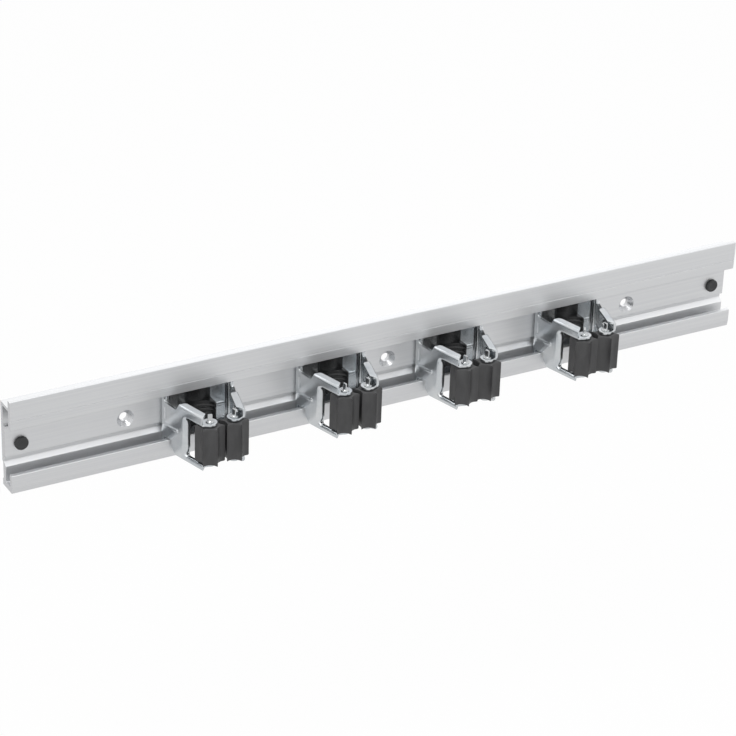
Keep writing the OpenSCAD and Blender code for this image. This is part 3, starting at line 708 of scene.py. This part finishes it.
def wing_fine(s, t):
    """Where the wing's mesh needs its points closer: the bead, the bends, the window's edge, the barrel."""
    near_bead = abs(t - BEAD[0][1]) < BEAD_W / 2 and -BEAD_FINE < s < STRIP_BACK
    bends = any(0 < b < quarter_bend for b in (t - high_bend, low_bend - t)) and s > KNEE_BACK
    past, _, _, fold_r = window_fold(s, t)
    window_edge = s > roll_start and -WINDOW_FINE < past < fold_r * math.pi / 2 and fold_r < TIGHT_R
    return near_bead or bends or window_edge or s < 0


line_low, line_high = (Vector(p) for p in RAISED_LINE)
line_points = [tuple(line_low.lerp(line_high, k / RAISED_LINE_STEPS)) for k in range(RAISED_LINE_STEPS + 1)]
wing_sheet = pressed_sheet(
    wing_outline, formed_wing, wing_fine,
    lines=[bead_outline(*BEAD), bead_outline(*RAISED_LINE, RAISED_LINE_W / 2), line_points],
    holes=[(ear_at, AXLE_R + EAR_CLEAR) for ear_at in (high_ear_at, low_ear_at)])
right_wing = moved(wing_sheet, Matrix.Translation((HINGE_HALF * MM, -PIN_OUT * MM, 0)) @
                   Matrix.Rotation(-lean, 4, "Z"))


def beside_holder(i, hand):
    """The move that takes a right-hand piece to a holder, mirrored where hand is -1 for the left."""
    return at_holder(i) @ Matrix.Diagonal((hand, 1, 1, 1))


for i in HOLDERS:
    for side, hand in SIDES:
        piece(f"{side}_wing_sheet_{i}", moved(right_wing, beside_holder(i, hand)), f"{side}_wing_{i}",
              f"{side}_wing_{i}", bright_zinc_plate)

# Hinge pins and springs
# The pins are drawn steel rod with broken ends. The springs are oil-hardened wire, wound round the pins
# between the wings' barrels and the carriers' upper knuckles.
PIN_LOW, PIN_HIGH, PIN_END, PIN_END_SHARE, PIN_SIDES = 3.9, 51.2, 0.3, 0.7, 24
WIRE_R = 0.35
COIL_R = (PIN_R + KNUCKLE_R) / 2 + WIRE_R / 2
SPRING_LOW, SPRING_HIGH = 41.2, 47.9
COILS, COIL_STEPS, WIRE_SIDES = 4, 28, 10
SPRING_SMOOTH_UNDER = 60

pin_mesh = turned([
    (PIN_R * PIN_END_SHARE, PIN_LOW + UNDERSIDE), (PIN_R, PIN_LOW + PIN_END + UNDERSIDE),
    (PIN_R, PIN_HIGH - PIN_END + UNDERSIDE), (PIN_R * PIN_END_SHARE, PIN_HIGH + UNDERSIDE)],
    sides=PIN_SIDES, centre=(HINGE_HALF, -PIN_OUT, 0))

wire_path = [(COIL_R, 0, SPRING_LOW), (COIL_R, 0, SPRING_LOW + WIRE_R)]
for k in range(1, COILS * COIL_STEPS):
    a, f = math.tau * k / COIL_STEPS, k / (COILS * COIL_STEPS)
    height = SPRING_LOW + 2 * WIRE_R + f * (SPRING_HIGH - SPRING_LOW - 4 * WIRE_R)
    wire_path.append((COIL_R * math.cos(a), COIL_R * math.sin(a), height))
wire_path += [(COIL_R, 0, SPRING_HIGH - WIRE_R), (COIL_R, 0, SPRING_HIGH)]
wire_rings = []
for k, p in enumerate(wire_path):
    at_end = k in (0, len(wire_path) - 1)
    run = Vector((0, 0, 1)) if at_end else (Vector(wire_path[k + 1]) - Vector(wire_path[k - 1])).normalized()
    spoke = Vector((p[0], p[1], 0)).normalized()
    rise = run.cross(spoke).normalized()
    middle = Vector(p) + Vector((HINGE_HALF, -PIN_OUT, UNDERSIDE))
    turns = (math.tau * j / WIRE_SIDES for j in range(WIRE_SIDES))
    wire_rings.append([middle + WIRE_R * (math.cos(a) * spoke + math.sin(a) * rise) for a in turns])
spring_mesh = lofted(wire_rings)

# Drawn rod: smooth bright steel with lines along it from the die, drawn 0.2 mm apart to show at all
drawn_steel, shader = new_material("drawn_bright_steel")
rod_lines = surface_noise(drawn_steel, (0.2, 0.2, 6))
set_inputs(drawn_steel, shader, {
    "Base Color": linear("#c9cbcc"),
    "Metallic": 1,
    "Roughness": add_node(drawn_steel, "ShaderNodeMapRange", {
        "Value": rod_lines, **NOISE_SPAN, "To Min": 0.14, "To Max": 0.26}).outputs["Result"]})

# Oil-hardened wire: dark grey steel with a thin film of oil
spring_wire, shader = new_material("oil_hardened_spring_wire")
oil_film = surface_noise(spring_wire, (1, 1, 1))
set_inputs(spring_wire, shader, {
    "Base Color": linear("#6d7073"),
    "Metallic": 1,
    "Roughness": add_node(spring_wire, "ShaderNodeMapRange", {
        "Value": oil_film, **NOISE_SPAN, "To Min": 0.28, "To Max": 0.4}).outputs["Result"]})

for i in HOLDERS:
    for side, hand in SIDES:
        piece(f"{side}_hinge_pin_{i}", moved(pin_mesh, beside_holder(i, hand)), f"holder_{i}",
              f"{side}_pin_{i}", drawn_steel)
        piece(f"{side}_hinge_spring_{i}", moved(spring_mesh, beside_holder(i, hand)), f"holder_{i}",
              f"{side}_spring_{i}", spring_wire, SPRING_SMOOTH_UNDER)

# Rollers
# Dark grey rubber, moulded round a steel axle, with six hollow flutes that leave sharp ridges for grip.
# A low hub at each end keeps it off the ears.
FLUTE_R, FLUTE_DEPTH, FLUTE_STEPS = 6.226, 3, 14
ROLLER_LOW, ROLLER_HIGH = 7.6, 31.7
HUB_R, HUB_H, HUB_EDGE = 3, 0.3, 0.15
RIDGE_R, RIDGE_BLUNT = 0.4, 0.05
# The rims' round edge: how far in from the roller's end, and how far its outline is drawn in there
RIM_ROUND = [(0, 0.75), (0.22, 0.25), (0.75, 0)]
# How far each roller has turned, left and right of each holder: the ridges' angle from the rail's line
ROLLER_TURNS = {1: (36, 37), 2: (34, 40), 3: (23, 23), 4: (24, 24)}

flute_place = ROLLER_R - FLUTE_DEPTH + FLUTE_R
flute_half = math.pi / RIDGES - math.asin(RIDGE_R / ROLLER_R)


def roller_ring(z, shrink):
    """The roller's outline at a height, drawn in by shrink."""
    ring = []
    for k in range(RIDGES):
        middle = math.tau * k / RIDGES
        for j in range(FLUTE_STEPS + 1):
            a = -flute_half + 2 * flute_half * j / FLUTE_STEPS
            aside = flute_place * math.sin(a)
            reach = flute_place * math.cos(a) - math.sqrt(max(0, FLUTE_R ** 2 - aside ** 2))
            r = min(reach if abs(aside) < FLUTE_R else ROLLER_R, ROLLER_R - RIDGE_BLUNT) - shrink
            ring.append((r * math.cos(a + middle), r * math.sin(a + middle), z + UNDERSIDE))
        tip, r = middle + math.pi / RIDGES, ROLLER_R - shrink
        ring.append((r * math.cos(tip), r * math.sin(tip), z + UNDERSIDE))
    return ring


rims = [(ROLLER_LOW + inward, shrink) for inward, shrink in RIM_ROUND]
rims += [(ROLLER_HIGH - inward, shrink) for inward, shrink in reversed(RIM_ROUND)]
roller_body = lofted([roller_ring(z, shrink) for z, shrink in rims])
hub_low, hub_high = ROLLER_LOW - HUB_H + UNDERSIDE, ROLLER_HIGH + HUB_H + UNDERSIDE
hubs = turned([
    (HUB_R - HUB_EDGE, hub_low), (HUB_R, hub_low + HUB_EDGE), (HUB_R, hub_high - HUB_EDGE),
    (HUB_R - HUB_EDGE, hub_high)])
roller_mesh = joined(roller_body, hubs)

# Roller rubber: dark grey and satin, a little paler in patches where the rubber has bloomed. Its grain is
# drawn 0.35 mm across, coarser than the real one, to show at all
roller_rubber, shader = new_material("moulded_grey_rubber")
roller_grain = surface_noise(roller_rubber, (0.35, 0.35, 0.35))
bloom = surface_noise(roller_rubber, (4, 4, 9))
set_inputs(roller_rubber, shader, {
    "Base Color": add_node(roller_rubber, "ShaderNodeMix", {
        "Factor": add_node(roller_rubber, "ShaderNodeMapRange", {
            "Value": bloom, **NOISE_SPAN}).outputs["Result"],
        "A": linear("#363637"), "B": linear("#3f3f40")}, data_type="RGBA").outputs["Result"],
    "Roughness": add_node(roller_rubber, "ShaderNodeMapRange", {
        "Value": roller_grain, **NOISE_SPAN, "To Min": 0.38, "To Max": 0.5}).outputs["Result"],
    "IOR": 1.52,
    "Normal": add_node(roller_rubber, "ShaderNodeBump", {
        "Height": roller_grain, "Strength": 0.15, "Distance": 0.03 * MM}).outputs["Normal"]})


def on_axle(i, hand, turn):
    """The move from the rail's middle to a roller's axle at a holder, turned by an angle in degrees."""
    return at_holder(i) @ Matrix.Translation((hand * ROLLER_HALF * MM, -ROLLER_OUT * MM, 0)) @ \
        Matrix.Rotation(math.radians(turn), 4, "Z")


for i in HOLDERS:
    for (side, hand), turn in zip(SIDES, ROLLER_TURNS[i]):
        piece(f"{side}_fluted_roller_{i}", moved(roller_mesh, on_axle(i, hand, turn - 180 / RIDGES)),
              f"{side}_roller_{i}", f"{side}_roller_{i}", roller_rubber)

# Axles
# Steel rod headed below the lower ear, with a push-on collar above the upper one and its end hammered
# into a flat tongue.
HEAD_LOW, HEAD_R, HEAD_H, HEAD_EDGE, HEAD_EDGE_SHARE = 4.875, 2.25, 0.525, 0.2, 0.85
COLLAR_Z, COLLAR_R, COLLAR_H, COLLAR_EDGE, COLLAR_EDGE_IN = 33.9, 2.55, 0.525, 0.15, 0.2
ROD_END_OUT, ROD_END_IN, ROD_END_H, AXLE_SIDES = 0.1, 0.2, 0.25, 40
TONGUE_W, TONGUE_T, TONGUE_H, TONGUE_CORNER_R, TONGUE_SINK = 2.9, 1, 4.6, 0.3, 0.1
# The tongue's cross-sections up its height, how far up it is hammered flat, what it measures where it starts,
# and its round end
TONGUE_LEVEL_SHARES = (0, 0.15, 0.35, 0.6, 0.85, 0.95, 1)
FLAT_FROM_SHARE, START_W_SHARE, START_T_SHARE = 0.35, 0.8, 1.5
END_FROM_SHARE, END_ROUND_SHARE, END_W_SHARE = 0.9, 0.115, 0.35
# How far each axle's tongue is turned, left and right of each holder
TONGUE_TURNS = {1: (15, -75), 2: (80, -60), 3: (65, -70), 4: (-60, -80)}

head_low, head_high = HEAD_LOW + UNDERSIDE, HEAD_LOW + HEAD_H + UNDERSIDE
collar_low, collar_high = COLLAR_Z + UNDERSIDE, COLLAR_Z + COLLAR_H + UNDERSIDE
axle_body = turned([
    (HEAD_R * HEAD_EDGE_SHARE, head_low), (HEAD_R, head_low + HEAD_EDGE), (HEAD_R, head_high),
    (AXLE_R, head_high), (AXLE_R, collar_low), (COLLAR_R, collar_low), (COLLAR_R, collar_high - COLLAR_EDGE),
    (COLLAR_R - COLLAR_EDGE_IN, collar_high), (AXLE_R + ROD_END_OUT, collar_high),
    (AXLE_R - ROD_END_IN, collar_high + ROD_END_H)], sides=AXLE_SIDES)
tongue_low, tongue_high = collar_high - TONGUE_SINK, COLLAR_Z + TONGUE_H + UNDERSIDE
tongue_rings = []
for f in TONGUE_LEVEL_SHARES:
    flat = eased(f, 0, FLAT_FROM_SHARE)
    wide = TONGUE_W / 2 * (START_W_SHARE + (1 - START_W_SHARE) * flat)
    if f > END_FROM_SHARE:
        round_end = math.sqrt(1 - ((f - END_FROM_SHARE) / END_ROUND_SHARE) ** 2)
        wide *= 1 - END_W_SHARE + END_W_SHARE * round_end
    thick = TONGUE_T / 2 * (START_T_SHARE + (1 - START_T_SHARE) * flat)
    corners = [(-wide, -thick), (wide, -thick), (wide, thick), (-wide, thick)]
    z = tongue_low + f * (tongue_high - tongue_low)
    tongue_rings.append([(p.x, p.y, z) for p in rounded(corners, TONGUE_CORNER_R)])
axle_mesh = joined(axle_body, lofted(tongue_rings))

for i in HOLDERS:
    for (side, hand), turn in zip(SIDES, TONGUE_TURNS[i]):
        piece(f"{side}_roller_axle_{i}", moved(axle_mesh, on_axle(i, hand, hand * turn)),
              f"{side}_roller_{i}", f"{side}_axle_{i}", drawn_steel)

# Studio
# A floor of matt white board, three soft square lamps and a white surround, for a picture on white.
# The camera stands where the photograph's stood, and takes in the whole rail.
CAMERA_AT = (-0.7532, -1.3094, 0.7840)
CAMERA_LENS, SENSOR_W, CLIP_NEAR, CLIP_FAR = 135.94, 36, 0.05, 20
AZIMUTH, ELEVATION, ROLL = (math.radians(a) for a in (29.566, 27.699, 1.875))
FLOOR_Z, FLOOR_HALF = -0.32, 4
# Each lamp's place, its size and its power
LAMPS = {"key_lamp": ((-0.6, -0.7, 1.5), 0.9, 12), "fill_lamp": ((1.3, -1.1, 0.65), 1.0, 3),
         "back_lamp": ((0.85, 1.5, 0.95), 1.2, 2.5)}
WHITE = (1, 1, 1, 1)
SURROUND_LIGHT, SURROUND_SEEN = 0.75, 1
FLOOR_GLOW_SHARE, FLOOR_MIRRORED, FLOOR_SEEN = 0.93, 0.8, 1

look = Vector((math.sin(AZIMUTH) * math.cos(ELEVATION), math.cos(AZIMUTH) * math.cos(ELEVATION),
               -math.sin(ELEVATION)))
level = Vector((math.cos(AZIMUTH), -math.sin(AZIMUTH), 0))
upright = level.cross(look)
across = level * math.cos(ROLL) + upright * math.sin(ROLL)
camera = bpy.data.objects.new("camera", bpy.data.cameras.new("camera"))
bpy.context.collection.objects.link(camera)
camera.matrix_world = Matrix((across, look.cross(across) * -1, -look)).transposed().to_4x4()
camera.location = CAMERA_AT
camera.data.lens = CAMERA_LENS
camera.data.sensor_width = SENSOR_W
camera.data.clip_start = CLIP_NEAR
camera.data.clip_end = CLIP_FAR
bpy.context.scene.camera = camera
bpy.context.scene.view_settings.view_transform = "Standard"

for name, (place, size, power) in LAMPS.items():
    lamp = bpy.data.objects.new(name, bpy.data.lights.new(name, "AREA"))
    bpy.context.collection.objects.link(lamp)
    lamp.data.shape = "SQUARE"
    lamp.data.size = size
    lamp.data.energy = power
    lamp.location = place
    lamp.rotation_mode = "QUATERNION"
    lamp.rotation_quaternion = (-Vector(place)).to_track_quat("-Z", "Y")


def seen_rays(owner):
    """A light path node, and the rays by which a thing is seen: straight, mirrored or through a clear one."""
    path = add_node(owner, "ShaderNodeLightPath", {})
    seen = path.outputs["Is Camera Ray"]
    for other in ("Is Glossy Ray", "Is Transmission Ray"):
        seen = add_node(owner, "ShaderNodeMath", {
            0: seen, 1: path.outputs[other]}, operation="MAXIMUM").outputs[0]
    return path, seen


# The surround is white wherever it is seen, and lights the pieces a little less than it looks
world = bpy.data.worlds.new("white_surround")
bpy.context.scene.world = world
world.use_nodes = True
world.node_tree.nodes.clear()
_, seen = seen_rays(world)
surround = add_node(world, "ShaderNodeMix", {
    "Factor": seen, "A": SURROUND_LIGHT, "B": SURROUND_SEEN}, data_type="FLOAT")
background = add_node(world, "ShaderNodeBackground", {"Color": WHITE, "Strength": surround.outputs["Result"]})
add_node(world, "ShaderNodeOutputWorld", {"Surface": background.outputs["Background"]})

floor_mesh = bpy.data.meshes.new("floor")
corners = [(x * FLOOR_HALF, y * FLOOR_HALF, FLOOR_Z) for x, y in ((-1, -1), (1, -1), (1, 1), (-1, 1))]
floor_mesh.from_pydata(corners, [], [(0, 1, 2, 3)])
floor = bpy.data.objects.new("floor", floor_mesh)
bpy.context.collection.objects.link(floor)

# White board: matt. The camera sees it white, and the metal mirrors it in the shade of a board under lamps
white_board, shader = new_material("matt_white_board")
set_inputs(white_board, shader, {"Base Color": linear("#f2f2f2"), "Roughness": 0.8})
path, seen = seen_rays(white_board)
brightness = add_node(white_board, "ShaderNodeMix", {
    "Factor": path.outputs["Is Camera Ray"], "A": FLOOR_MIRRORED, "B": FLOOR_SEEN}, data_type="FLOAT")
glow = add_node(white_board, "ShaderNodeEmission", {
    "Color": WHITE, "Strength": brightness.outputs["Result"]})
share = add_node(white_board, "ShaderNodeMath", {0: seen, 1: FLOOR_GLOW_SHARE}, operation="MULTIPLY")
mixed = add_node(white_board, "ShaderNodeMixShader", {
    0: share.outputs[0], 1: shader.outputs["BSDF"], 2: glow.outputs["Emission"]})
set_inputs(white_board, white_board.node_tree.nodes["Material Output"], {"Surface": mixed.outputs["Shader"]})
floor_mesh.materials.append(white_board)
